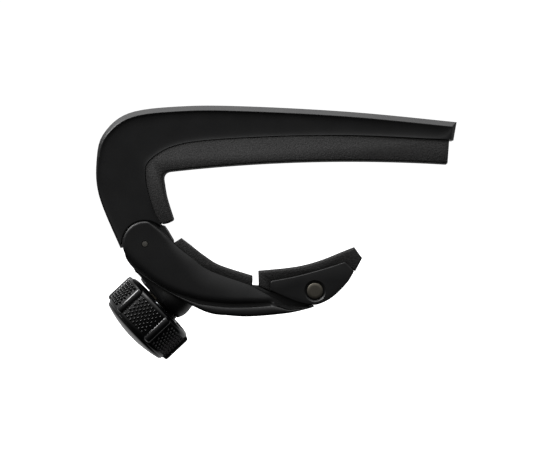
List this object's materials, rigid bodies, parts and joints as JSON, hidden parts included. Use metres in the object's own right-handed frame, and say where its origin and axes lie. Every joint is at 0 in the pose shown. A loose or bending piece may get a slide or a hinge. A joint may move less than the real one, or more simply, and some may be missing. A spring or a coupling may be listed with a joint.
{
  "type": "guitar capo",
  "caption": "Guitar capo with a padded string bar, a hinged clamp lever driven by a ribbed thumb screw, and a padded shoe that swivels on the lever's end.",
  "frame": {"origin": "crown of the string pad's pressing face, in the middle of its width", "axes": "+X along the string bar towards its free tip, +Z away from the guitar's strings, +Y across the capo, along the strings"},
  "size_m": [0.0901, 0.0206, 0.0633],
  "materials": {
    "black_paint": "satin black paint on die-cast aluminium",
    "pad_rubber": "matt moulded rubber with a fine grain",
    "knob_plastic": "gloss black moulded plastic",
    "pin_steel": "bare steel pin end",
    "dark_pin_steel": "darkened steel rivet",
    "spring_steel": "plain zinc-plated steel",
    "black_oxide_brass": "blackened brass",
    "nylon": "natural nylon"
  },
  "bodies": {
    "frame": {"upper_frame": "black_paint", "string_pad": "pad_rubber", "thread_insert": "black_oxide_brass", "hinge_pin": "pin_steel", "hinge_washer_near": "nylon", "hinge_washer_far": "nylon", "return_spring": "spring_steel"},
    "lever": {"clamp_lever": "black_paint", "lever_pad": "pad_rubber", "thrust_seat": "spring_steel"},
    "foot": {"thrust_foot": "spring_steel", "foot_clip": "spring_steel"},
    "knob": {"adjusting_screw": "spring_steel", "knob_body": "knob_plastic", "knob_cap": "knob_plastic"},
    "shoe": {"swivel_shoe": "black_paint", "shoe_pad": "pad_rubber", "shoe_pin": "dark_pin_steel", "shoe_washer_near": "nylon", "shoe_washer_far": "nylon"}
  },
  "joints": [
    {"name": "foot_travel", "type": "slide", "parent": "frame", "child": "foot", "axis": [0.749, 0, 0.6626], "range_m": [-0.00301, 0.00121]},
    {"name": "knob_spin", "type": "hinge", "parent": "foot", "child": "knob", "pos_m": [-0.03165, 0, -0.02988], "axis": [0.749, 0, 0.6626], "range_deg": [-1350, 540]},
    {"name": "lever_hinge", "type": "hinge", "parent": "frame", "child": "lever", "pos_m": [-0.04095, 0, -0.01937], "axis": [0, -1, 0], "range_deg": [-12.4, 5], "deforming": ["return_spring"]},
    {"name": "shoe_swivel", "type": "hinge", "parent": "lever", "child": "shoe", "pos_m": [0.00125, 0, -0.0323], "axis": [0, -1, 0], "range_deg": [-15, 0]}
  ],
  "couplings": [
    {"joint": "foot_travel", "follows": "knob_spin", "m_per_rad": 0.00012732},
    {"joint": "lever_hinge", "follows": "knob_spin", "ratio": 0.0090751}
  ]
}
